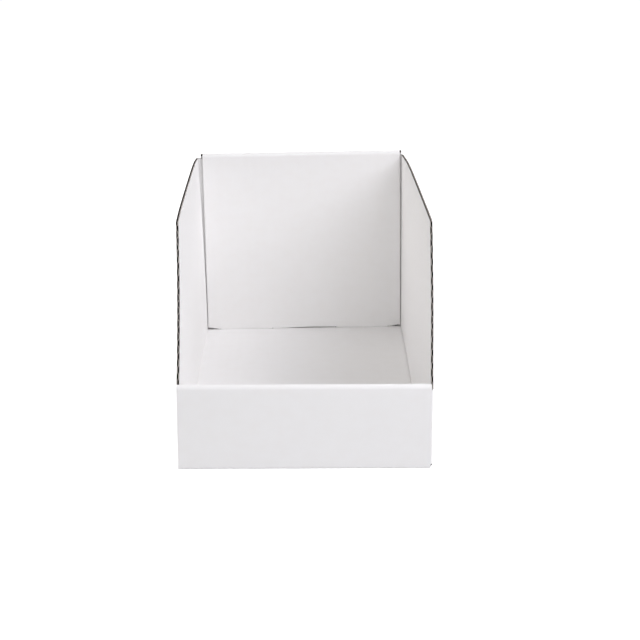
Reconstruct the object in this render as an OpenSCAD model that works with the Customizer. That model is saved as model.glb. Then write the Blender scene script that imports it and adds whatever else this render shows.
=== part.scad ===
// Corrugated parts bin, folded from one die-cut sheet of white-faced fluted board.
// The floor carries two side panels with sloped fronts, a low front wall and a full-height back wall.
// The side panels lean out a little towards their tops, held only by their tabs.
// Each end wall is an outer ply that rolls over two creases into an inner ply. The roll-over traps the
// tabs of the side panels, and lock tabs on the inner ply drop into slots in the floor, so no tape or
// glue is needed. The flutes run front to back in the floor and the sides, and upright in the end walls.
// Millimetres, with the origin at the middle of the underside, +Y to the back and +Z up.

/* [Bin] */
// Width over the two side panels at the floor
bin_w = 152.5; // [120:0.5:200]
// Depth from the front face to the back face
bin_d = 305; // [200:1:375]
// Height of the front wall over its rolled top
front_h = 52; // [35:1:70]
// Height of the side panels at their level top edge, up the panel
side_h = 135; // [100:1:170]
// How far the sloped edge of a side panel runs back from the front face
slope_run = 75; // [30:1:100]
// Angle at which the side panels lean out, as the loosely locked board does
side_lean = 1.3; // [0:0.1:3]

/* [Board] */
// Caliper of the corrugated board
board_t = 1.6; // [1.4:0.1:2]
// Thickness of each flat liner
liner_t = 0.2; // [0.15:0.01:0.25]
// Thickness of the fluted medium between the liners
medium_t = 0.18; // [0.12:0.01:0.25]
// Spacing of the flutes
flute_pitch = 6.65; // [5.5:0.05:8]
// Width of the glue line that holds a flute tip to its liner
glue_w = 0.8; // [0.4:0.1:1.2]
// Inside radius of a crease
crease_r = 0.2; // [0.1:0.05:0.5]
// Length of board beside a crease whose flutes are crushed flat
crushed_l = 3; // [1:0.5:5]
// Depth of the open groove along an edge that is cut in line with the flutes
edge_groove = 1.8; // [1:0.1:2]

/* [Locks and tabs] */
// Clearance between plies that lie against each other
ply_gap = 0.2; // [0.1:0.05:0.3]
// How far each end wall stops short of the outside of a side panel
end_inset = 0.7; // [0:0.1:0.8]
// Length of the side panel tabs inside the end walls
tab_l = 58; // [30:1:70]
// Taper of a tab at its free end, top and bottom
tab_taper = 4; // [0:0.5:8]
// Relief below a tab, above the underside of the bin
tab_relief = 3; // [2.5:0.5:6]
// Width of a lock tab
lock_w = 40; // [20:1:45]
// Distance from the end of an inner ply to its nearest lock tab
lock_margin = 9.5; // [5:0.1:20]
// Clearance round a lock tab in its floor slot, along the slot
slot_gap = 0.4; // [0.2:0.1:1]

/* [Hidden] */
fold_steps = 6;
flute_steps = 8;
board_r = board_t + crease_r;
core_t = board_t - 2 * liner_t;
wall_t = 3 * board_t + 2 * ply_gap;
back_h = side_h + ply_gap + board_t;
half_w = bin_w / 2;
half_d = bin_d / 2;
outer_ply_w = bin_w - 2 * end_inset;
inner_ply_w = bin_w - 2 * (board_t + ply_gap);
lock_x = (inner_ply_w - lock_w) / 2 - lock_margin;
panel_y = half_d - board_t - ply_gap - board_r;
flute_rise = (core_t - medium_t) / 2;
overcut = 1;

// Folded sheets: a path along the middle of the board, turned into an outline of even thickness
function unit(v) = v / norm(v);
function left_of(v) = [-v.y, v.x];
function reversed(list) = [for (i = [len(list) - 1:-1:0]) list[i]];

// One side of a crease between two stretches of board, h to the left of the middle of the board
function crease(before, corner, after, h) =
    let (from = unit(corner - before))
    let (to = unit(after - corner))
    let (turn = atan2(cross(from, to), from * to))
    let (side = sign(turn))
    let (mid_r = board_t / 2 + crease_r)
    let (start = corner - from * mid_r * tan(abs(turn) / 2))
    let (centre = start + side * mid_r * left_of(from))
    let (spoke = start - centre)
    let (first = atan2(spoke.y, spoke.x))
    [for (i = [0:fold_steps])
        let (a = first + turn * i / fold_steps)
        centre + (mid_r - side * h) * [cos(a), sin(a)]];

function board_side(path, h) =
    let (last = len(path) - 1)
    concat(
        [path[0] + h * left_of(unit(path[1] - path[0]))],
        [for (i = [1:1:last - 1]) each crease(path[i - 1], path[i], path[i + 1], h)],
        [path[last] + h * left_of(unit(path[last] - path[last - 1]))]);

function sheet(path, t) = concat(board_side(path, t / 2), reversed(board_side(path, -t / 2)));

// One open flute cell: the flat liner on one side, and the curve of the medium on the other
function flute_cell(side) =
    let (length = flute_pitch - glue_w)
    [for (i = [0:flute_steps])
        let (z = (i / flute_steps - 0.5) * length)
        let (a = 360 * z / flute_pitch)
        let (steepness = flute_rise * 2 * PI / flute_pitch * sin(a))
        let (wall = medium_t / 2 * sqrt(1 + steepness * steepness))
        let (at_liner = i == 0 || i == flute_steps)
        [side * (at_liner ? core_t / 2 : wall - flute_rise * cos(a)), z]];

// A run of flute cells down from the top of a board of the given length, in its section.
// The cut edge at the top halves the first cell of one row, which leaves a groove there.
module flute_cells(length)
    for (side = [-1, 1]) {
        first = side > 0 ? 0 : flute_pitch / 2;
        for (i = [0:floor((length - first) / flute_pitch - 0.5)])
            translate([0, -first - i * flute_pitch])
                polygon(flute_cell(side));
    }

// Extrudes an outline drawn in X and Z along Y, between two Y values
module along_y(y0, y1)
    translate([0, y1, 0]) rotate([90, 0, 0]) linear_extrude(y1 - y0) children();

// Extrudes an outline drawn in Y and Z along X, across the middle of the bin
module across_x(width)
    translate([-width / 2, 0, 0]) rotate([90, 0, 90]) linear_extrude(width) children();

// Floor between the creases, with the four slots that take the lock tabs
module floor_panel() {
    slot_y = half_d - wall_t - ply_gap;
    slot_t = board_t + 2 * ply_gap;
    slot_l = lock_w + 2 * slot_gap;
    difference() {
        translate([board_r - half_w, board_r - half_d, 0])
            cube([bin_w - 2 * board_r, bin_d - 2 * board_r, board_t]);
        for (x = [-lock_x, lock_x], end = [-1, 1])
            translate([x - slot_l / 2, end * (slot_y + slot_t / 2) - slot_t / 2, -overcut])
                cube([slot_l, slot_t, board_t + 2 * overcut]);
    }
}

// Right side panel, creased up from the floor and leaning out, with open flutes along its sloped edge
module side_panel() {
    foot_z = front_h - board_t - ply_gap;
    top_y = slope_run - half_d;
    rise = side_h - foot_z;
    run = top_y + panel_y;
    beyond = 1.2;
    corner = [half_w - board_t / 2, board_t / 2];
    length = side_h - corner.y;
    top = corner + length * [sin(side_lean), cos(side_lean)];
    difference() {
        along_y(-panel_y, panel_y) difference() {
            polygon(sheet([[half_w - board_r, corner.y], corner, top], board_t));
            translate(top) rotate(-side_lean) flute_cells(side_h - foot_z);
        }
        leaning() across_x(2 * bin_w) polygon([
            [-panel_y, foot_z],
            [-panel_y + beyond * run, foot_z + beyond * rise],
            [-half_d, foot_z + beyond * rise],
            [-half_d, foot_z]]);
    }
    leaning() {
        tab(foot_z);
        mirror([0, 1, 0]) tab(side_h);
    }
}

// Leans what is built upright on the right side about the corner of the floor crease
module leaning() {
    pivot = [half_w - board_t / 2, 0, board_t / 2];
    translate(pivot) rotate([0, side_lean, 0]) translate(-pivot) children();
}

// Tab at the front edge of the right side panel: a crease, then a tapered flap inside the end wall.
// Its top edge falls further by what the lean of the panel lifts its free end.
module tab(top_z) {
    mid_x = half_w - board_t / 2;
    mid_y = board_t / 2 - panel_y - board_r;
    root_x = half_w - board_r;
    free_x = half_w - tab_l;
    lifted = tab_l * tan(side_lean);
    translate([0, 0, tab_relief]) linear_extrude(top_z - tab_relief)
        polygon(sheet([[mid_x, crushed_l - panel_y], [mid_x, mid_y], [root_x, mid_y]], board_t));
    along_y(mid_y - board_t / 2, mid_y + board_t / 2) polygon([
        [root_x, tab_relief],
        [root_x, top_z],
        [free_x, top_z - tab_taper - lifted],
        [free_x, tab_relief + tab_taper]]);
}

// Flat stretch of an inner ply, from the ends of its lock tabs up to top_z, with upright flutes that
// open along its lower edge. Between and beside the lock tabs that edge stops above the floor.
module inner_ply(mid_y, top_z) {
    lock_side = lock_x - lock_w / 2;
    lock_end = lock_x + lock_w / 2;
    cut_h = board_t + ply_gap;
    difference() {
        translate([0, mid_y, ply_gap]) linear_extrude(top_z - ply_gap) difference() {
            square([inner_ply_w, board_t], center = true);
            translate([-inner_ply_w / 2, 0]) rotate(90) flute_cells(inner_ply_w - flute_pitch / 2);
        }
        for (span = [[-half_w, -lock_end], [-lock_side, lock_side], [lock_end, half_w]])
            translate([span[0], mid_y - board_t, 0])
                cube([span[1] - span[0], 2 * board_t, cut_h]);
    }
}

// Front end wall of height h: an outer ply up from the floor, a strip across the top, and the inner ply
module end_wall(h) {
    outer_y = board_t / 2 - half_d;
    inner_y = outer_y + 2 * (board_t + ply_gap);
    strip_z = h - board_t / 2;
    ply_top = h - board_r - crushed_l;
    strip_start = [board_r - half_d, strip_z];
    strip_end = [inner_y - board_t / 2 - crease_r, strip_z];
    outer_path = [[board_r - half_d, board_t / 2], [outer_y, board_t / 2], [outer_y, strip_z], strip_end];
    difference() {
        across_x(outer_ply_w) polygon(sheet(outer_path, board_t));
        for (side = [-1, 1])
            translate([side * outer_ply_w / 2, 0, 0])
                across_x(2 * edge_groove) polygon(sheet(outer_path, core_t));
    }
    across_x(inner_ply_w)
        polygon(sheet([strip_start, [inner_y, strip_z], [inner_y, ply_top]], board_t));
    inner_ply(inner_y, ply_top);
}

// The whole bin, one folded sheet
module bin() color("white") {
    floor_panel();
    side_panel();
    mirror([1, 0, 0]) side_panel();
    end_wall(front_h);
    mirror([0, 1, 0]) end_wall(back_h);
}

bin();
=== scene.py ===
"""Corrugated parts bin: one die-cut blank of white-faced fluted board, folded and locked.

The blank is laid out flat, with u across the flutes and v along them, and folded round its creases.
Its two liners and the fluted medium between them are skins at their own heights above the middle of
the board. Metres, with the origin at the middle of the underside, +Y to the back and +Z up.
"""

import math

import bpy
import numpy as np
from mathutils import Matrix, Vector


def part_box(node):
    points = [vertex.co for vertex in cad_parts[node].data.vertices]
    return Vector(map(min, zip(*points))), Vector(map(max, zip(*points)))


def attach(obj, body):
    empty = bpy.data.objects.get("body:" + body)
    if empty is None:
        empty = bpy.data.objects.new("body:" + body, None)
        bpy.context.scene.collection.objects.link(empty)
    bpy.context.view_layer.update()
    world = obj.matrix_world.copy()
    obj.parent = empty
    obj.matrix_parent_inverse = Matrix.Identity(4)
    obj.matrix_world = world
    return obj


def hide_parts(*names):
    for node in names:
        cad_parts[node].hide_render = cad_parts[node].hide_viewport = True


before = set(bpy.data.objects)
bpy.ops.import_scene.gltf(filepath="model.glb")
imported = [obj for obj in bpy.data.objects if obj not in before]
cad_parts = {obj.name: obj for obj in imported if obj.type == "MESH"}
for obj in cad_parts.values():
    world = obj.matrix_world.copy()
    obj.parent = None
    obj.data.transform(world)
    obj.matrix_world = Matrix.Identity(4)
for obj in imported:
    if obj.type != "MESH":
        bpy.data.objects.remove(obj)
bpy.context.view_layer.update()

bl_info = {
    "name": "Corrugated Parts Bin",
    "version": (1, 0, 0),
    "blender": (4, 5, 0),
    "location": "View3D > Sidebar > Parts Bin",
    "description": "Builds a folded parts bin of white-faced corrugated board",
    "category": "Add Mesh",
}

BIN_LOW, BIN_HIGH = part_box("bin")
QUARTER_TURN = math.pi / 2
# Width of the camera's sensor, in millimetres
SENSOR_WIDTH = 36

# Longest divisions of the board, in metres, and divisions round a crease
FLOOR_STEP = 0.016
WALL_STEP = 0.045
TAB_STEP = 0.06
LINER_STEP_ACROSS = 0.0125
LINER_STEP_UP = 0.006
CREASE_STEPS = 6
SIDE_CREASE_STEPS = 8

# Differences in metres that count as none: within a fold, between two lines, and between two rows
HAIR = 1e-9
SAME_LINE = 1e-7
SAME_ROW = 1e-6
# Share of a step that rounding may add to a stretch
SAME_SHARE = 1e-6
# A line closer than this, in metres, to one that the outline needs is left out
LEAST_CELL = 0.0001
# Points that fall together on a grid this fine are one point
POINTS_PER_METRE = 1e6

# Where lines cross half a wave of the medium, in degrees: closest where it runs from liner to liner
HALF_WAVE = np.array([0, 48, 67, 79, 90, 101, 113, 132])
# Two ripples that vary the flutes' height, in radians per metre, and where the first starts
LONG_RIPPLE = 173
SHORT_RIPPLE = 611
RIPPLE_START = 2.0
# Faces that meet at more than this keep a sharp edge
SHARP_ANGLE = math.radians(50)

# Lamps: name, bearing to the right of the bin's front, and climb above it, in degrees
LAMPS = (("key", 65, 45), ("front", 0, 20), ("fill", 260, 40))
# The point inside the bin that they are aimed at, in metres
LAMP_TARGET = Vector((0, 0, 0.05))


def length(name, description, default):
    """A property that holds a length in metres."""
    return bpy.props.FloatProperty(
        name=name,
        description=description,
        default=default,
        unit="LENGTH",
        subtype="DISTANCE",
        precision=5,
    )


def number(name, description, default):
    """A property that holds a plain number."""
    return bpy.props.FloatProperty(name=name, description=description, default=default, precision=4)


def angle(name, description, degrees):
    """A property that holds an angle, given here in degrees."""
    return bpy.props.FloatProperty(
        name=name,
        description=description,
        default=math.radians(degrees),
        unit="ROTATION",
        subtype="ANGLE",
    )


def linear(hex_colour):
    """The linear RGB of an sRGB hex colour."""
    parts = [int(hex_colour[i : i + 2], 16) / 255 for i in (1, 3, 5)]
    return tuple(c / 12.92 if c <= 0.04045 else ((c + 0.055) / 1.055) ** 2.4 for c in parts)


def colour(name, description, hex_colour):
    """A property that holds a linear colour, given here as sRGB hex."""
    return bpy.props.FloatVectorProperty(
        name=name,
        description=description,
        default=linear(hex_colour),
        size=3,
        subtype="COLOR",
        min=0,
        max=1,
    )


class BinSizes(bpy.types.PropertyGroup):
    """The folded bin's own sizes."""

    width: length("Width", "Over the two side panels at the floor", 0.1525)
    depth: length("Depth", "From the front face to the back face", BIN_HIGH.y - BIN_LOW.y)
    back_height: length("Back height", "Top of the back wall", BIN_HIGH.z - BIN_LOW.z)
    side_height: length("Side height", "Level top edge of the side panels", 0.135)
    front_height: length("Front height", "Top of the front wall", 0.052)
    slope_run: length("Slope run", "How far the sloped edges run back from the front face", 0.075)
    ply_gap: length("Ply gap", "Clearance between plies that lie against each other", 0.0002)
    end_inset: length("End inset", "From an end wall's end to a side panel's outside", 0.0007)
    front_offset: length("Front offset", "How far left of the middle the front wall sits", 0.0005)
    tab_length: length("Tab length", "Side panel tabs inside the end walls", 0.058)
    tab_taper: length("Tab taper", "Taper of a tab at its free end, top and bottom", 0.004)
    tab_relief: length("Tab relief", "Relief below a tab, above the underside", 0.0022)
    tab_drop: length("Tab drop", "How far the front tabs stay below the rolled top", 0.0012)
    lock_width: length("Lock width", "Width of a lock tab", 0.040)
    lock_margin: length("Lock margin", "From an inner ply's end to its nearest lock tab", 0.0095)
    slot_gap: length("Slot gap", "Clearance at each end of a lock tab in its slot", 0.0004)
    inner_inset: length("Inner inset", "Clearance at an inner ply's ends, over the ply gap", 0.0004)
    edge_gap: length("Edge gap", "Least clearance under an inner ply's lower edge", 0.00015)
    nick: length("Nick", "Width and height of the relief nick beside a lock tab", 0.0005)


class BoardSizes(bpy.types.PropertyGroup):
    """The corrugated board."""

    caliper: length("Caliper", "Thickness of the board", 0.0016)
    liner: length("Liner", "Thickness of each flat liner", 0.0002)
    medium: length("Medium", "Thickness of the fluted medium", 0.00023)
    pitch: length("Flute pitch", "Spacing of the flutes", 0.00661)
    crease: length("Crease radius", "Inside radius of a crease", 0.0002)
    roll: length("Rear roll", "Inside radius of an end wall's rear top crease", 0.0006)
    soft_roll: length("Front roll", "Inside radius of an end wall's front top crease", 0.0013)
    score: length("Score depth", "Depth of the groove along the right panel's foot", 0.0005)
    score_width: length("Score width", "Width of the crease rule's groove", 0.0050)
    left_score: number("Left score", "Share of the score depth along the left panel's foot", 0.15)
    phase: number("Flute phase", "Share of a pitch from the right panel's top to a flute tip", 0.8)
    uneven: number("Unevenness", "Share by which the height of the flutes varies", 0.06)
    crush: number("Crush", "How flat the crowns are pressed, and so how steep the flanks are", 3.2)


class SlackSizes(bpy.types.PropertyGroup):
    """How the folded bin gives, as thin board does."""

    twist: angle("Twist", "How far the back wall has turned against the front wall", 0.9)
    left_lean: length("Left lean", "How far the top of the left panel bows out", 0.0039)
    right_lean: length("Right lean", "How far the top of the right panel bows out", 0.0042)
    right_fall: length("Right fall", "How much less the right panel bows at the back", 0.0014)
    left_grip: number("Left grip", "Share of the depth over which the left bow comes on", 0.24)
    right_grip: number("Right grip", "Share of the depth over which the right bow comes on", 0.12)
    left_hold: number("Left hold", "Share of the depth over which the left bow dies away", 0.07)
    right_hold: number("Right hold", "Share of the depth over which the right bow dies away", 0.12)
    left_end: number("Left end", "Share of the depth at which the left bow would end", 1.06)
    right_end: number("Right end", "Share of the depth at which the right bow would end", 1.03)
    left_curl: number("Left curl", "How late the left panel's bow comes on towards its top", 1.8)
    right_curl: number("Right curl", "How late the right panel's bow comes on towards its top", 0.9)
    foot_bow: length("Foot bow", "How far the right panel's foot bows in halfway along", 0.0011)
    bow_place: number("Bow place", "Share of the depth at which the foot bows in most", 0.45)
    bow_reach: number("Bow reach", "Share of the depth over which the foot's bow dies away", 0.2)
    front_rise: length("Front rise", "How far the front wall's rolled top bulges up", 0.0005)
    back_rise: length("Back rise", "How far the back wall's rolled top bulges up", 0.0014)
    middle_lift: length("Middle lift", "Lift of an inner ply's edge between its lock tabs", 0.00065)
    corner_lift: length("Corner lift", "Lift of an inner ply's lower corners", 0.0014)


class BoardColours(bpy.types.PropertyGroup):
    """Colours of the paper."""

    white: colour("White face", "Bleached face of the liners", "#F7F6F5")
    shade: colour("White mottle", "Where the brown base shows through the bleached face", "#F5F3F1")
    # Paler as torn fibres scatter light, and painted paler still as a highlight on the flutes' cut
    # ends
    torn: colour("Torn edge", "Torn fibres on the cut edge of the fluted medium", "#E2DAD2")
    # The liners' brown base, painted darker as the shade of the flutes beside it
    cut: colour("Cut edge", "Brown base of the liners on their cut edges", "#5A524B")
    # Painted far darker than unbleached kraft, as the shade inside the flutes
    brown: colour("Brown paper", "Unbleached fluted medium and backs of the liners", "#2D2723")
    # Painted near black with the brown, as the same shade inside the flutes
    fibre: colour("Fibre", "Dark fibres in the brown paper", "#1F1A17")


class StageSettings(bpy.types.PropertyGroup):
    """Camera, lamps and floor."""

    floor: colour("Floor", "Pale studio floor", "#E8E8E8")
    floor_size: length("Floor size", "Side of the floor", 60.0)
    floor_glow: number("Floor glow", "White that the camera sees over the floor's shade", 0.84)
    sky: colour("Room", "Soft light of the room", "#FFFEFC")
    sky_strength: number("Room strength", "Strength of the room's light", 0.212)
    lamp_size: length("Lamp size", "Side of each square lamp", 1.2)
    lamp_distance: length("Lamp distance", "From each lamp to the bin", 1.5)
    key_power: number("Key power", "Power of the high lamp at the right", 17.9)
    key_tint: colour("Key tint", "Colour of the high lamp at the right", "#F8F8FF")
    front_power: number("Front power", "Power of the low lamp in front", 4.3)
    front_tint: colour("Front tint", "Colour of the low lamp in front", "#FAFBFF")
    fill_power: number("Fill power", "Power of the lamp at the left", 7.6)
    fill_tint: colour("Fill tint", "Colour of the lamp at the left", "#FFFBF8")
    focal_length: bpy.props.FloatProperty(
        name="Focal length",
        description="Of the camera's lens, in millimetres",
        default=92.846,
        unit="CAMERA",
    )
    camera_x: length("Camera X", "Camera position across", -0.0010)
    camera_y: length("Camera Y", "Camera position in front", -1.0797)
    camera_z: length("Camera Z", "Camera height", 0.3522)
    pitch: angle("Pitch", "How far the camera looks down", 15.629)
    yaw: angle("Yaw", "How far the camera looks to the right", 0.608)
    roll: angle("Roll", "Turn of the camera about its own axis", 0.021)


class Fold:
    """A path along the middle of the board: straight stretches joined by round creases.

    It runs from the first corner to the last, and each corner between them has a radius.
    """

    def __init__(self, corners, radii):
        corners = [np.array(c, float) for c in corners]
        self.lines, self.arcs, self.end = [], [], 0.0
        here = corners[0]
        for before, corner, after, radius in zip(corners, corners[1:], corners[2:], radii):
            heading = (corner - before) / np.linalg.norm(corner - before)
            leaving = (after - corner) / np.linalg.norm(after - corner)
            turn = math.atan2(heading[0] * leaving[1] - heading[1] * leaving[0], heading @ leaving)
            cut = radius * math.tan(abs(turn) / 2)
            start = corner - cut * heading
            self.add_line(here, start, heading)
            side = math.copysign(1, turn)
            centre = start + side * radius * np.array([-heading[1], heading[0]])
            first = math.atan2(*(start - centre)[::-1])
            self.arcs.append((self.end, self.end + radius * abs(turn), centre, first, side, radius))
            self.end += radius * abs(turn)
            here = corner + cut * leaving
        self.add_line(here, corners[-1], leaving)

    def add_line(self, start, stop, heading):
        """Adds a straight stretch to the path's end."""
        run = np.linalg.norm(stop - start)
        self.lines.append((self.end, self.end + run, start, heading))
        self.end += run

    def at(self, s):
        """Points and left-hand normals at the lengths s along the path."""
        s = np.asarray(s, float)
        point, normal = np.zeros(s.shape + (2,)), np.zeros(s.shape + (2,))
        for low, high, start, heading in self.lines:
            on = (s >= low - HAIR) & (s <= high + HAIR)
            point[on] = start + (s[on] - low)[:, None] * heading
            normal[on] = (-heading[1], heading[0])
        for low, high, centre, first, side, radius in self.arcs:
            on = (s > low + HAIR) & (s < high - HAIR)
            a = first + side * (s[on] - low) / radius
            spoke = np.stack([np.cos(a), np.sin(a)], -1)
            point[on] = centre + radius * spoke
            normal[on] = -side * spoke
        return point, normal


def divided(marks, step):
    """The marks in order, with even divisions no longer than step between them."""
    marks = sorted(marks)
    out = [marks[0]]
    for a, b in zip(marks, marks[1:]):
        if b - a < SAME_LINE:
            continue
        count = max(1, math.ceil((b - a) / step - SAME_SHARE))
        out += [a + (b - a) * (i + 1) / count for i in range(count)]
    return np.array(out)


def flute_lines(start, pitch, low, high):
    """Lines across the flutes between low and high. start is at a crest of the medium."""
    shares = np.concatenate([HALF_WAVE, HALF_WAVE + 180]) / 360
    waves = np.arange(math.floor((low - start) / pitch), math.ceil((high - start) / pitch) + 1)
    lines = (start + pitch * (waves[:, None] + shares)).ravel()
    return lines[(lines >= low) & (lines <= high)]


def merged(*lists, least=SAME_ROW):
    """All the values in order, without those closer than least to one of an earlier list."""
    out = []
    for values in lists:
        out += [v for v in values if all(abs(v - o) > least for o in out)]
    return np.array(sorted(out))


class Sheet:
    """A folded stretch of board: places and normals on its middle, flat layout, and cells.

    lean is 1 on the right side panel and its tabs, -1 on the left one's, and 0 elsewhere.
    """

    def __init__(self, place, normal, flat, lean, cells):
        self.place, self.normal, self.flat, self.lean, self.cells = place, normal, flat, lean, cells

    def mirrored(self, axis):
        """The same stretch on the other side: left to right for axis 0, front to back for 1."""
        flip = np.ones(3)
        flip[axis] = -1
        flat = self.flat * (flip[0], flip[1])
        lean = self.lean * flip[0]
        return Sheet(self.place * flip, self.normal * flip, flat, lean, self.cells[:, ::-1])

    @staticmethod
    def joined(sheets):
        """One sheet, with the points that its parts share on their borders made one."""
        starts = np.cumsum([0] + [len(s.place) for s in sheets])
        cells = np.concatenate([s.cells + start for s, start in zip(sheets, starts)])
        place = np.concatenate([s.place for s in sheets])
        used = np.unique(cells)
        key = np.round(place[used] * POINTS_PER_METRE).astype(int)
        _, first, inverse = np.unique(key, axis=0, return_index=True, return_inverse=True)
        renumber = np.full(len(place), -1)
        renumber[used] = inverse.ravel()
        keep = used[first]
        normal = np.concatenate([s.normal for s in sheets])[keep]
        flat = np.concatenate([s.flat for s in sheets])[keep]
        lean = np.concatenate([s.lean for s in sheets])[keep]
        return Sheet(place[keep], normal, flat, lean, renumber[cells])


def lattice(rows, columns, keep=None):
    """Cells of a lattice of points numbered row by row. keep says which cells are board."""
    i, j = np.meshgrid(np.arange(rows - 1), np.arange(columns - 1), indexing="ij")
    if keep is not None:
        i, j = i[keep], j[keep]
    corner = (i * columns + j).ravel()
    return np.stack([corner, corner + columns, corner + columns + 1, corner + 1], -1)


class Blank:
    """Works out the folded blank from the sizes."""

    def __init__(self, size, board, slack):
        self.size, self.board, self.slack = size, board, slack
        t, gap = board.caliper, size.ply_gap
        self.half_w, self.half_d = size.width / 2, size.depth / 2
        self.radius = t / 2 + board.crease
        self.outer_radius = t + board.crease
        # Where a side panel ends and the creases of its tabs begin
        self.panel_y = self.half_d - t - gap - self.outer_radius
        # Top of the front tabs, where the sloped edges start
        self.foot_z = size.front_height - t - gap - size.tab_drop
        self.inner_half = self.half_w - t - gap - size.inner_inset
        self.outer_half = self.half_w - size.end_inset
        self.floor_half = self.half_w - self.outer_radius
        self.lock_side = self.inner_half - size.lock_margin - size.lock_width
        self.lock_end = self.inner_half - size.lock_margin
        self.lock_mid = (self.lock_side + self.lock_end) / 2
        self.slot_half = size.lock_width / 2 + size.slot_gap
        self.slot_far = self.half_d - 2 * t - gap
        self.slot_near = self.slot_far - t - 2 * gap
        self.widest = self.outer_half + size.front_offset
        self.arc = self.radius * QUARTER_TURN
        self.side_top = self.floor_half + self.arc + size.side_height - self.outer_radius
        self.first_tip = self.side_top - board.phase * board.pitch
        # How far the medium's middle rises and falls from the board's
        self.rise = (t - 2 * board.liner - board.medium) / 2

    def floor_lines(self):
        """Where the side panels, and the floor between them, are divided along the flutes."""
        marks = [-self.panel_y, -self.slot_near, self.slot_near, self.panel_y]
        return divided(marks, FLOOR_STEP)

    def end_walls_and_floor(self, across):
        """The middle column of the blank. across holds the lines that divide its width."""
        size, t, gap = self.size, self.board.caliper, self.size.ply_gap
        outer_y = self.half_d - t / 2
        inner_y = outer_y - 2 * (t + gap)
        roll, soft_roll = t / 2 + self.board.roll, t / 2 + self.board.soft_roll
        front_top = size.front_height + self.slack.front_rise - t / 2
        back_top = size.back_height + self.slack.back_rise - t / 2
        fold = Fold(
            [
                (-inner_y, gap),
                (-inner_y, front_top),
                (-outer_y, front_top),
                (-outer_y, t / 2),
                (outer_y, t / 2),
                (outer_y, back_top),
                (inner_y, back_top),
                (inner_y, gap),
            ],
            [roll, soft_roll, self.radius, self.radius, roll, soft_roll],
        )
        floor_start = fold.arcs[2][1]
        floor_stop = fold.arcs[3][0]
        middle = (floor_start + floor_stop) / 2
        # Where an inner ply ends, from the path's end: at a lock tab, elsewhere, and in a nick
        edge = t + size.edge_gap
        low = [0, edge - gap, edge + size.nick - gap]
        steps = [divided(low + [fold.lines[0][1]], WALL_STEP)]
        steps += [divided([a, b], (b - a) / CREASE_STEPS) for a, b, *_ in fold.arcs]
        steps += [divided([a, b], WALL_STEP) for a, b, *_ in fold.lines[1:3] + fold.lines[4:6]]
        free = self.half_d - self.outer_radius
        ends = [-free, -self.slot_far, self.slot_far, free]
        steps += [middle + np.concatenate([self.floor_lines(), ends])]
        steps += [divided([fold.end - x for x in low] + [fold.lines[-1][0]], WALL_STEP)]
        along = merged(*steps)
        u, v = np.meshgrid(across, along, indexing="ij")
        point, normal = fold.at(v)
        from_end = np.minimum(v, fold.end - v)
        lower_edge = (from_end > low[1] - SAME_ROW) & (from_end < low[2] + SAME_ROW)
        point[..., 1] += self.edge_lift(u) * lower_edge
        place = np.stack([u, point[..., 0], point[..., 1]], -1).reshape(-1, 3)
        normal = np.stack([0 * u, normal[..., 0], normal[..., 1]], -1).reshape(-1, 3)
        flat = np.stack([u, v - middle], -1).reshape(-1, 2)
        cu = (across[1:, None] + across[:-1, None]) / 2
        cv = (along[None, 1:] + along[None, :-1]) / 2
        keep = self.is_board(cu, cv, fold, middle, low)
        return Sheet(place, normal, flat, np.zeros(len(place)), lattice(*u.shape, keep))

    def edge_lift(self, u):
        """How far an inner ply's lower edge has lifted, between its lock tabs and beside them."""
        middle, corner = self.slack.middle_lift, self.slack.corner_lift
        tip = self.inner_half - self.lock_end
        # Where the lift changes, as shares of the way from the edge's middle to its right lock tab
        places = [-1, -0.75, 0.1, 0.6, 1]
        lifts = [0, 0, middle, middle, middle / 2]
        between = np.interp(u / self.lock_side, places, lifts, left=0, right=0)
        beside = np.clip((np.abs(u) - self.lock_end) / tip, 0, 1) ** 3
        return between + corner * beside

    def is_board(self, u, v, fold, middle, low):
        """Which cells of the middle column are board, from their middles u and v."""
        size = self.size
        front_outer = (v > fold.arcs[0][1]) & (v < fold.arcs[2][1])
        back_outer = (v > fold.arcs[3][0]) & (v < fold.arcs[5][0])
        floor = (v > fold.arcs[2][1]) & (v < fold.arcs[3][0])
        inner = ~(front_outer | back_outer | floor)
        y = np.abs(v - middle)
        slot = (np.abs(np.abs(u) - self.lock_mid) < self.slot_half) & (y > self.slot_near)
        slot &= y < self.slot_far
        board = floor & (np.abs(u) < self.floor_half) & ~slot
        board |= front_outer & (np.abs(u + size.front_offset) < self.outer_half)
        board |= back_outer & (np.abs(u) < self.outer_half)
        from_end = np.minimum(v, fold.end - v)
        lock = (np.abs(u) > self.lock_side) & (np.abs(u) < self.lock_end)
        beside = (np.abs(u) > self.lock_side - size.nick) & (np.abs(u) < self.lock_end + size.nick)
        lower = np.where(lock, low[0], np.where(beside, low[2], low[1]))
        board |= inner & (np.abs(u) < self.inner_half) & (from_end > lower)
        return board

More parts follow.
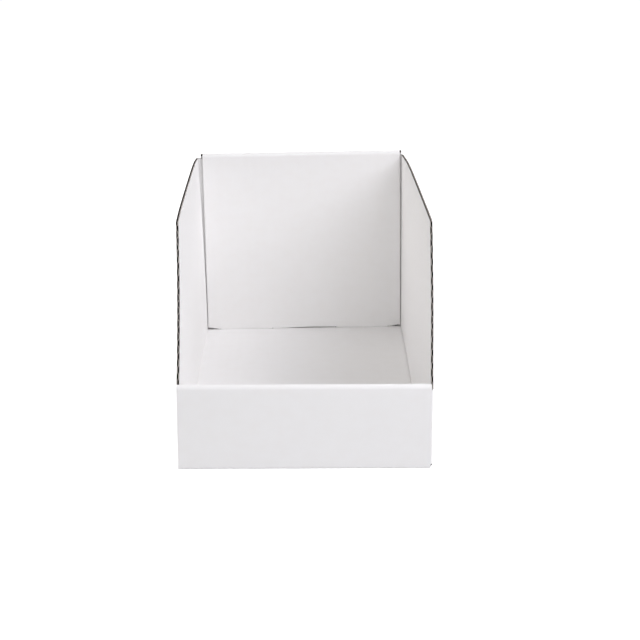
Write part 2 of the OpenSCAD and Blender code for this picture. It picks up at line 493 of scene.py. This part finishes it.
    def side_panel(self, up):
        """The right side panel. up holds the lines that divide it, from the floor's edge up."""
        size = self.size
        mid_x = self.half_w - self.board.caliper / 2
        fold = Fold(
            [
                (self.floor_half, self.board.caliper / 2),
                (mid_x, self.board.caliper / 2),
                (mid_x, size.side_height),
            ],
            [self.radius],
        )
        point, normal = fold.at(up)
        z = point[:, 1]
        climb = np.clip((z - self.foot_z) / (size.side_height - self.foot_z), 0, 1)
        front = -self.panel_y + climb * (size.slope_run - self.half_d + self.panel_y)
        inner = self.floor_lines()
        share = (inner + self.panel_y) / (2 * self.panel_y)
        y = front[:, None] + share * (self.panel_y - front[:, None])
        y[climb == 0] = inner
        x, z_all = (np.repeat(point[:, i : i + 1], len(share), 1) for i in (0, 1))
        place = np.stack([x, y, z_all], -1).reshape(-1, 3)
        turned = np.stack([normal[:, 0], 0 * z, normal[:, 1]], -1)
        normal = np.repeat(turned[:, None], len(share), 1).reshape(-1, 3)
        u = np.repeat(self.floor_half + np.asarray(up)[:, None], len(share), 1)
        flat = np.stack([u, y], -1).reshape(-1, 2)
        return Sheet(place, normal, flat, np.ones(len(place)), lattice(len(up), len(share)))

    def tab(self, up, top_z):
        """The right side panel's front tab, folded in between the plies, in the panel's rows."""
        size, t = self.size, self.board.caliper
        mid_x = self.half_w - t / 2
        mid_y = -self.half_d + t + size.ply_gap + t / 2
        z_at = np.asarray(up) + self.outer_radius - self.arc
        rows = z_at[(z_at > size.tab_relief - SAME_LINE) & (z_at < top_z + SAME_LINE)]
        free_x = self.half_w - size.tab_length
        fold = Fold([(mid_x, -self.panel_y), (mid_x, mid_y), (free_x, mid_y)], [self.radius])
        arc_start, arc_stop = fold.arcs[0][:2]
        crease = divided([arc_start, arc_stop], (arc_stop - arc_start) / CREASE_STEPS)
        s = merged(crease, divided([arc_stop, fold.end], TAB_STEP))
        point, normal = fold.at(s)
        taper = size.tab_taper * np.clip((s - arc_stop) / (fold.end - arc_stop), 0, 1)
        share = (rows - size.tab_relief) / (top_z - size.tab_relief)
        z = size.tab_relief + taper + share[:, None] * (top_z - size.tab_relief - 2 * taper)
        shape = z.shape
        x, y = (np.broadcast_to(point[:, i], shape) for i in (0, 1))
        normal_x, normal_y = (-np.broadcast_to(normal[:, i], shape) for i in (0, 1))
        place = np.stack([x, y, z], -1)
        normal = np.stack([normal_x, normal_y, 0 * z], -1)
        u = self.floor_half + z - self.outer_radius + self.arc
        flat = np.stack([u, -self.panel_y - s + 0 * z], -1)
        place, normal, flat = place.reshape(-1, 3), normal.reshape(-1, 3), flat.reshape(-1, 2)
        return Sheet(place, normal, flat, np.ones(z.size), lattice(*shape)[:, ::-1])

    def cut_lines(self):
        """Lines over the width that the outline of the middle column needs."""
        size = self.size
        marks = [
            self.lock_side - size.nick,
            self.lock_side,
            self.lock_end,
            self.lock_end + size.nick,
            self.lock_mid - self.slot_half,
            self.lock_mid + self.slot_half,
            self.floor_half,
            self.inner_half,
            self.outer_half,
        ]
        marks = [m * side for m in marks for side in (-1, 1)]
        return marks + [-self.widest, self.outer_half - size.front_offset]

    def rise_lines(self):
        """Lines up the side panel that its creases, tabs and slope need."""
        arc = divided([0, self.arc], self.arc / SIDE_CREASE_STEPS)
        heights = (self.size.tab_relief, self.foot_z, self.size.side_height)
        return list(arc) + [z - self.outer_radius + self.arc for z in heights]

    def medium_faces(self, u):
        """Heights of the fluted medium's two faces above the board's middle, at places u."""
        board = self.board
        ripple = np.sin(u * LONG_RIPPLE + RIPPLE_START) * np.sin(u * SHORT_RIPPLE)
        rise = self.rise * (1 - board.uneven * (1 + ripple))
        # The medium's middle is a crushed wave, and where it's steep its wall is taller than thick
        turn = 2 * math.pi * (self.first_tip - u) / board.pitch
        pressed = np.tanh(board.crush * np.cos(turn))
        middle = -rise * pressed / math.tanh(board.crush)
        steepness = rise * board.crush * np.sin(turn) * (1 - pressed**2)
        steepness *= 2 * math.pi / board.pitch / math.tanh(board.crush)
        wall = board.medium / 2 * np.sqrt(1 + steepness**2)
        room = board.caliper / 2 - board.liner
        return np.maximum(middle - wall, -room), np.minimum(middle + wall, room)

    def side(self, up):
        """The right side panel with its two tabs."""
        back_tab = self.tab(up, self.size.side_height).mirrored(1)
        return [self.side_panel(up), self.tab(up, self.foot_z), back_tab]

    def folded(self, across, up_right, up_left):
        """The whole bin, divided by the given lines over its middle and up each side panel."""
        left = [stretch.mirrored(0) for stretch in self.side(up_left)]
        return Sheet.joined([self.end_walls_and_floor(across)] + self.side(up_right) + left)


def settled(place, lean, blank):
    """Moves points as loosely locked board gives: the side panels bow out and the bin twists."""
    slack = blank.slack
    place = place.copy()
    x, y, z = place.T
    along = np.clip((y + blank.panel_y) / (2 * blank.panel_y), 0, 1)
    height = np.clip((z - blank.outer_radius) / (blank.size.side_height - blank.outer_radius), 0, 1)
    left = slack.left_lean * np.tanh(along / slack.left_grip)
    left *= np.tanh((slack.left_end - along) / slack.left_hold)
    right = (slack.right_lean - slack.right_fall * along) * np.tanh(along / slack.right_grip)
    right *= np.tanh((slack.right_end - along) / slack.right_hold)
    x -= (lean < 0) * left * height**slack.left_curl
    x += (lean > 0) * right * height**slack.right_curl
    bow = slack.foot_bow * np.exp(-(((along - slack.bow_place) / slack.bow_reach) ** 2))
    x -= bow * np.clip(x / blank.half_w, 0, 1) ** 2 * (1 - height) ** 2
    # The twist: each slice turns about the left foot, more the nearer it lies to the back
    turn = slack.twist * (y / (2 * blank.half_d) + 0.5)
    from_left = x + blank.half_w
    place[:, 0] = from_left * np.cos(turn) - z * np.sin(turn) - blank.half_w
    place[:, 2] = from_left * np.sin(turn) + z * np.cos(turn)
    return place


def skin(sheet, low, high, blank):
    """Points, faces and layout of a closed skin between two heights above the board's middle."""
    count = len(sheet.place)
    under = settled(sheet.place + low[:, None] * sheet.normal, sheet.lean, blank)
    over = settled(sheet.place + high[:, None] * sheet.normal, sheet.lean, blank)
    edges = np.concatenate([sheet.cells[:, [i, (i + 1) % 4]] for i in range(4)])
    pairs = edges[:, 0] * count + edges[:, 1]
    backward = edges[:, 1] * count + edges[:, 0]
    # On the border, no neighbour runs along the edge the other way
    border = edges[~np.isin(pairs, backward)]
    a, b = border.T
    rim = np.stack([a, b, b + count, a + count], -1)
    faces = [sheet.cells[:, ::-1], sheet.cells + count, rim]
    return np.concatenate([under, over]), faces, np.concatenate([sheet.flat, sheet.flat])


def mesh_piece(name, parts, materials):
    """A mesh object. parts holds skins: points, faces by group, layout and material by group."""
    points, faces, flats, slots, start = [], [], [], [], 0
    for place, groups, flat, group_slots in parts:
        for group, slot in zip(groups, group_slots):
            faces.append(group + start)
            slots.append(np.full(len(group), slot))
        points.append(place)
        flats.append(flat)
        start += len(place)
    faces, flats = np.concatenate(faces), np.concatenate(flats)
    mesh = bpy.data.meshes.new(name)
    mesh.from_pydata(np.concatenate(points).tolist(), [], faces.tolist())
    mesh.polygons.foreach_set("material_index", np.concatenate(slots).astype(np.int32))
    layer = mesh.uv_layers.new(name="blank")
    layer.data.foreach_set("uv", flats[faces.ravel()].astype(np.float32).ravel())
    for material in materials:
        mesh.materials.append(material)
    mesh.shade_smooth()
    mesh.set_sharp_from_angle(angle=SHARP_ANGLE)
    mesh.validate()
    piece = bpy.data.objects.new(name, mesh)
    bpy.context.scene.collection.objects.link(piece)
    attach(piece, "root")
    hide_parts("bin")


def add_node(tree, kind, settings=None, values=None, links=None):
    """Adds a node, with its settings, its input values and its links from other nodes' outputs."""
    node = tree.nodes.new(kind)
    for key, value in (settings or {}).items():
        setattr(node, key, value)
    for key, value in (values or {}).items():
        node.inputs[key].default_value = value
    for key, output in (links or {}).items():
        tree.links.new(output, node.inputs[key])
    return node


def new_material(name):
    """An empty node material and its tree."""
    material = bpy.data.materials.new(name)
    material.use_nodes = True
    material.node_tree.nodes.clear()
    return material, material.node_tree


def fibre_noise(tree, across, along, detail=3.0):
    """Noise on the flat blank. Its grains measure across and along, in metres, by the flutes."""
    flat = add_node(tree, "ShaderNodeUVMap", {"uv_map": "blank"})
    scaled = add_node(
        tree,
        "ShaderNodeVectorMath",
        {"operation": "MULTIPLY"},
        {1: (1 / across, 1 / along, 1)},
        {0: flat.outputs["UV"]},
    )
    noise = add_node(
        tree,
        "ShaderNodeTexNoise",
        {},
        {"Scale": 1.0, "Detail": detail, "Roughness": 0.55},
        {"Vector": scaled.outputs[0]},
    )
    return noise.outputs["Fac"]


def crease_groove(tree, layout, blank):
    """Height of the face by the groove along each side panel's foot: 0 in its bed, 1 beside it."""
    u, v = layout.outputs["X"], layout.outputs["Y"]
    across = add_node(tree, "ShaderNodeMath", {"operation": "ABSOLUTE"}, {}, {0: u})
    middle = blank.floor_half + blank.arc / 2
    signed = add_node(
        tree, "ShaderNodeMath", {"operation": "SUBTRACT"}, {1: middle}, {0: across.outputs[0]}
    )
    off = add_node(tree, "ShaderNodeMath", {"operation": "ABSOLUTE"}, {}, {0: signed.outputs[0]})
    left = add_node(tree, "ShaderNodeMath", {"operation": "LESS_THAN"}, {1: 0}, {0: u})
    # The bed of the left panel's groove is less deep, so it starts higher
    shallow = 1 - blank.board.left_score
    bed = add_node(
        tree, "ShaderNodeMath", {"operation": "MULTIPLY"}, {1: shallow}, {0: left.outputs[0]}
    )
    bank = add_node(
        tree,
        "ShaderNodeMapRange",
        {"interpolation_type": "SMOOTHSTEP"},
        {"From Max": blank.board.score_width / 2},
        {"Value": off.outputs[0], "To Min": bed.outputs[0]},
    )
    along = add_node(tree, "ShaderNodeMath", {"operation": "ABSOLUTE"}, {}, {0: v})
    past = add_node(
        tree,
        "ShaderNodeMath",
        {"operation": "GREATER_THAN"},
        {1: blank.panel_y},
        {0: along.outputs[0]},
    )
    height = add_node(
        tree,
        "ShaderNodeMath",
        {"operation": "MAXIMUM"},
        {},
        {0: bank.outputs[0], 1: past.outputs[0]},
    )
    return height.outputs[0]


def bleached_linerboard(colours, blank):
    """Bleached kraft linerboard, calendered: a smooth matt white, mottled by its brown base."""
    board = blank.board
    material, tree = new_material("bleached_linerboard_calendered")
    # Formation of the paper: cloudy patches about 9 mm across, only just darker than the rest
    cloud = fibre_noise(tree, across=0.009, along=0.007)
    # Single fibres lie across the flutes, about 2 mm long. They are drawn 0.25 mm wide, so that
    # they show at all, and real ones are 0.03 mm wide
    fibres = fibre_noise(tree, across=0.002, along=0.00025, detail=2.0)
    cloudy = {"From Min": 0.42, "From Max": 0.75, "To Max": 0.5}
    mottle = add_node(tree, "ShaderNodeMapRange", {}, cloudy, {"Value": cloud})
    flecked = {"From Min": 0.6, "From Max": 0.8, "To Max": 0.2}
    fleck = add_node(tree, "ShaderNodeMapRange", {}, flecked, {"Value": fibres})
    both = add_node(
        tree,
        "ShaderNodeMath",
        {"operation": "ADD", "use_clamp": True},
        {},
        {0: mottle.outputs[0], 1: fleck.outputs[0]},
    )
    paper = add_node(
        tree,
        "ShaderNodeMix",
        {"data_type": "RGBA"},
        {"A": (*colours.white, 1), "B": (*colours.shade, 1)},
        {"Factor": both.outputs[0]},
    )
    flat = add_node(tree, "ShaderNodeUVMap", {"uv_map": "blank"})
    layout = add_node(tree, "ShaderNodeSeparateXYZ", {}, {}, {0: flat.outputs["UV"]})
    groove = add_node(
        tree,
        "ShaderNodeBump",
        {},
        {"Strength": 1.0, "Distance": board.score},
        {"Height": crease_groove(tree, layout, blank)},
    )
    # Washboarding: the liner dips by about 0.02 mm between the flute tips
    offset = add_node(
        tree,
        "ShaderNodeMath",
        {"operation": "SUBTRACT"},
        {1: blank.first_tip},
        {0: layout.outputs["X"]},
    )
    turn = 2 * math.pi / board.pitch
    phase = add_node(
        tree, "ShaderNodeMath", {"operation": "MULTIPLY"}, {1: turn}, {0: offset.outputs[0]}
    )
    wave = add_node(tree, "ShaderNodeMath", {"operation": "COSINE"}, {}, {0: phase.outputs[0]})
    ridges = add_node(
        tree,
        "ShaderNodeBump",
        {},
        {"Strength": 0.35, "Distance": 0.00003},
        {"Height": wave.outputs[0], "Normal": groove.outputs["Normal"]},
    )
    grain = add_node(
        tree,
        "ShaderNodeBump",
        {},
        {"Strength": 0.15, "Distance": 0.00002},
        {"Height": fibres, "Normal": ridges.outputs["Normal"]},
    )
    calendered = {"To Min": 0.52, "To Max": 0.68}
    rough = add_node(tree, "ShaderNodeMapRange", {}, calendered, {"Value": cloud})
    looks = {
        "Base Color": paper.outputs["Result"],
        "Roughness": rough.outputs[0],
        "Normal": grain.outputs["Normal"],
    }
    shader = add_node(tree, "ShaderNodeBsdfPrincipled", {}, {"IOR": 1.5}, looks)
    add_node(tree, "ShaderNodeOutputMaterial", {}, {}, {"Surface": shader.outputs[0]})
    return material


def fluting_paper(colours):
    """Unbleached fluting paper, rough from the machine: dull brown, painted nearly black as the
    shade in the flutes.
    """
    return brown_paper("fluting_paper_machine_finished", colours.brown, colours.fibre, 0.5)


def torn_edge(colours):
    """Fluting paper torn by a steel rule: paler as loose fibres scatter light, plus a painted
    highlight.
    """
    return brown_paper("fluting_paper_torn_edge", colours.torn, colours.brown, 0.2)


def cut_edge(colours):
    """Linerboard cut by a steel rule: the brown base shows under its thin white face, with painted
    shade.
    """
    return brown_paper("linerboard_die_cut_edge", colours.cut, colours.brown, 0.3)


def brown_paper(name, base, fibre, contrast):
    """Brown paper with darker fibres lying across the flutes, one material for all its pieces."""
    material = bpy.data.materials.get(name)
    if material:
        return material
    material, tree = new_material(name)
    # Patches about 4 mm across, and fibres 1.5 mm long. The fibres are drawn 0.15 mm wide, so that
    # they show at all, and real ones are 0.03 mm wide
    cloud = fibre_noise(tree, across=0.004, along=0.003)
    fibres = fibre_noise(tree, across=0.0015, along=0.00015)
    spread = add_node(
        tree,
        "ShaderNodeMath",
        {"operation": "MULTIPLY", "use_clamp": True},
        {},
        {0: cloud, 1: fibres},
    )
    darker = {"From Min": 0.2, "From Max": 0.4, "To Max": contrast}
    dark = add_node(tree, "ShaderNodeMapRange", {}, darker, {"Value": spread.outputs[0]})
    paper = add_node(
        tree,
        "ShaderNodeMix",
        {"data_type": "RGBA"},
        {"A": (*base, 1), "B": (*fibre, 1)},
        {"Factor": dark.outputs[0]},
    )
    raised = {"Strength": 0.5, "Distance": 0.00004}
    bump = add_node(tree, "ShaderNodeBump", {}, raised, {"Height": fibres})
    shader = add_node(
        tree,
        "ShaderNodeBsdfPrincipled",
        {},
        {"IOR": 1.5, "Roughness": 0.85},
        {"Base Color": paper.outputs["Result"], "Normal": bump.outputs["Normal"]},
    )
    add_node(tree, "ShaderNodeOutputMaterial", {}, {}, {"Surface": shader.outputs[0]})
    return material


def current_blank(scene):
    """The blank at the sizes that the panel shows."""
    return Blank(scene.bin_sizes, scene.bin_board, scene.bin_slack)


class PARTSBIN_OT_liners(bpy.types.Operator):
    """Builds the two liners of the folded board, white outside and brown inside"""

    bl_idname = "parts_bin.liners"
    bl_label = "Build Liners"

    def execute(self, context):
        blank, colours = current_blank(context.scene), context.scene.bin_colours
        middle = divided([-blank.widest, blank.widest], LINER_STEP_ACROSS)
        across = merged(blank.cut_lines(), middle, least=LEAST_CELL)
        panel = divided([blank.arc, blank.side_top - blank.floor_half], LINER_STEP_UP)
        up = merged(blank.rise_lines(), panel, least=LEAST_CELL)
        sheet = blank.folded(across, up, up)
        half, liner = blank.board.caliper / 2, blank.board.liner
        level = np.ones(len(sheet.place))
        outside = skin(sheet, -half * level, (liner - half) * level, blank)
        inside = skin(sheet, (half - liner) * level, half * level, blank)
        papers = [bleached_linerboard(colours, blank), fluting_paper(colours), cut_edge(colours)]
        mesh_piece("liners", [(*outside, (0, 1, 2)), (*inside, (1, 0, 2))], papers)
        return {"FINISHED"}


class PARTSBIN_OT_flutes(bpy.types.Operator):
    """Builds the fluted medium between the liners"""

    bl_idname = "parts_bin.flutes"
    bl_label = "Build Flutes"

    def execute(self, context):
        blank, colours = current_blank(context.scene), context.scene.bin_colours
        tip, pitch, foot = blank.first_tip, blank.board.pitch, blank.floor_half + blank.arc
        middle = flute_lines(tip, pitch, -blank.widest, blank.widest)
        across = merged(blank.cut_lines(), middle, least=LEAST_CELL)
        panels = []
        for side in (1, -1):
            rise = flute_lines(side * tip, pitch, foot, blank.side_top) - blank.floor_half
            panels.append(merged(blank.rise_lines(), rise, least=LEAST_CELL))
        sheet = blank.folded(across, *panels)
        body = skin(sheet, *blank.medium_faces(sheet.flat[:, 0]), blank)
        mesh_piece("flutes", [(*body, (0, 0, 1))], [fluting_paper(colours), torn_edge(colours)])
        return {"FINISHED"}


def area_lamp(stage, name, bearing, climb):
    """A soft square lamp aimed at the bin, with its bearing and climb in degrees as in LAMPS."""
    data = bpy.data.lights.new(name, "AREA")
    data.shape = "SQUARE"
    data.size = stage.lamp_size
    data.energy = getattr(stage, name + "_power")
    data.color = getattr(stage, name + "_tint")
    a, e = math.radians(bearing), math.radians(climb)
    away = Vector((math.cos(e) * math.sin(a), -math.cos(e) * math.cos(a), math.sin(e)))
    lamp = bpy.data.objects.new(name, data)
    lamp.location = LAMP_TARGET + stage.lamp_distance * away
    lamp.rotation_euler = (-away).to_track_quat("-Z", "Y").to_euler()
    bpy.context.scene.collection.objects.link(lamp)


def studio_floor(stage):
    """A plain pale floor that keeps the bin's shadow and is white to the camera elsewhere."""
    mesh = bpy.data.meshes.new("floor")
    half = stage.floor_size / 2
    corners = [(-half, -half, 0), (half, -half, 0), (half, half, 0), (-half, half, 0)]
    mesh.from_pydata(corners, [], [(0, 1, 2, 3)])
    floor = bpy.data.objects.new("floor", mesh)
    bpy.context.scene.collection.objects.link(floor)
    material, tree = new_material("paper_sweep")
    diffuse = add_node(tree, "ShaderNodeBsdfDiffuse", {}, {"Color": (*stage.floor, 1)})
    seen = seen_directly(tree)
    strength = add_node(
        tree, "ShaderNodeMath", {"operation": "MULTIPLY"}, {1: stage.floor_glow}, {0: seen}
    )
    glow = add_node(tree, "ShaderNodeEmission", {}, {}, {"Strength": strength.outputs[0]})
    both = add_node(
        tree, "ShaderNodeAddShader", {}, {}, {0: diffuse.outputs[0], 1: glow.outputs[0]}
    )
    add_node(tree, "ShaderNodeOutputMaterial", {}, {}, {"Surface": both.outputs[0]})
    mesh.materials.append(material)


def seen_directly(tree):
    """1 for what the camera sees, also in a gloss or through glass, and 0 for bounced light."""
    path = add_node(tree, "ShaderNodeLightPath")
    total = path.outputs["Is Camera Ray"]
    for ray in ("Is Glossy Ray", "Is Transmission Ray"):
        total = add_node(
            tree, "ShaderNodeMath", {"operation": "MAXIMUM"}, {}, {0: total, 1: path.outputs[ray]}
        ).outputs[0]
    return total


def studio_room(stage):
    """Soft even light from all round, seen as plain white."""
    world = bpy.data.worlds.new("room")
    world.use_nodes = True
    tree = world.node_tree
    tree.nodes.clear()
    light = add_node(
        tree, "ShaderNodeBackground", {}, {"Color": (*stage.sky, 1), "Strength": stage.sky_strength}
    )
    white = add_node(tree, "ShaderNodeBackground", {}, {"Color": (1, 1, 1, 1), "Strength": 1.0})
    seen = seen_directly(tree)
    either = add_node(
        tree, "ShaderNodeMixShader", {}, {}, {0: seen, 1: light.outputs[0], 2: white.outputs[0]}
    )
    add_node(tree, "ShaderNodeOutputWorld", {}, {}, {"Surface": either.outputs[0]})
    bpy.context.scene.world = world


class PARTSBIN_OT_stage(bpy.types.Operator):
    """Sets up the floor, the soft lamps and the camera"""

    bl_idname = "parts_bin.stage"
    bl_label = "Set Stage"

    def execute(self, context):
        scene = context.scene
        stage = scene.bin_stage
        studio_floor(stage)
        studio_room(stage)
        for lamp in LAMPS:
            area_lamp(stage, *lamp)
        data = bpy.data.cameras.new("camera")
        data.sensor_width = SENSOR_WIDTH
        data.lens = stage.focal_length
        camera = bpy.data.objects.new("camera", data)
        camera.matrix_world = (
            Matrix.Translation((stage.camera_x, stage.camera_y, stage.camera_z))
            @ Matrix.Rotation(-stage.yaw, 4, "Z")
            @ Matrix.Rotation(QUARTER_TURN - stage.pitch, 4, "X")
            @ Matrix.Rotation(-stage.roll, 4, "Z")
        )
        scene.collection.objects.link(camera)
        scene.camera = camera
        scene.view_settings.view_transform = "Standard"
        return {"FINISHED"}


class PARTSBIN_PT_panel(bpy.types.Panel):
    """Lists the steps and sizes of the parts bin"""

    bl_idname = "PARTSBIN_PT_panel"
    bl_label = "Parts Bin"
    bl_space_type = "VIEW_3D"
    bl_region_type = "UI"
    bl_category = "Parts Bin"

    def draw(self, context):
        layout = self.layout
        for operator in STEPS:
            layout.operator(operator.bl_idname)
        for title, owner, group in GROUPS:
            box = layout.box()
            box.label(text=title)
            for key in group.__annotations__:
                box.prop(getattr(context.scene, owner), key)


STEPS = (PARTSBIN_OT_stage, PARTSBIN_OT_liners, PARTSBIN_OT_flutes)
GROUPS = (
    ("Bin", "bin_sizes", BinSizes),
    ("Board", "bin_board", BoardSizes),
    ("Slack", "bin_slack", SlackSizes),
    ("Colours", "bin_colours", BoardColours),
    ("Stage", "bin_stage", StageSettings),
)


def register():
    """Adds the settings, the operators and the panel."""
    for _, owner, group in GROUPS:
        bpy.utils.register_class(group)
        setattr(bpy.types.Scene, owner, bpy.props.PointerProperty(type=group))
    for cls in (*STEPS, PARTSBIN_PT_panel):
        bpy.utils.register_class(cls)


def unregister():
    """Takes them out again, in the reverse order."""
    for cls in (PARTSBIN_PT_panel, *reversed(STEPS)):
        bpy.utils.unregister_class(cls)
    for _, owner, group in reversed(GROUPS):
        delattr(bpy.types.Scene, owner)
        bpy.utils.unregister_class(group)


def main():
    """Builds the stage and the pieces."""
    register()
    bpy.ops.parts_bin.stage()
    bpy.ops.parts_bin.liners()
    bpy.ops.parts_bin.flutes()


if __name__ == "__main__":
    main()
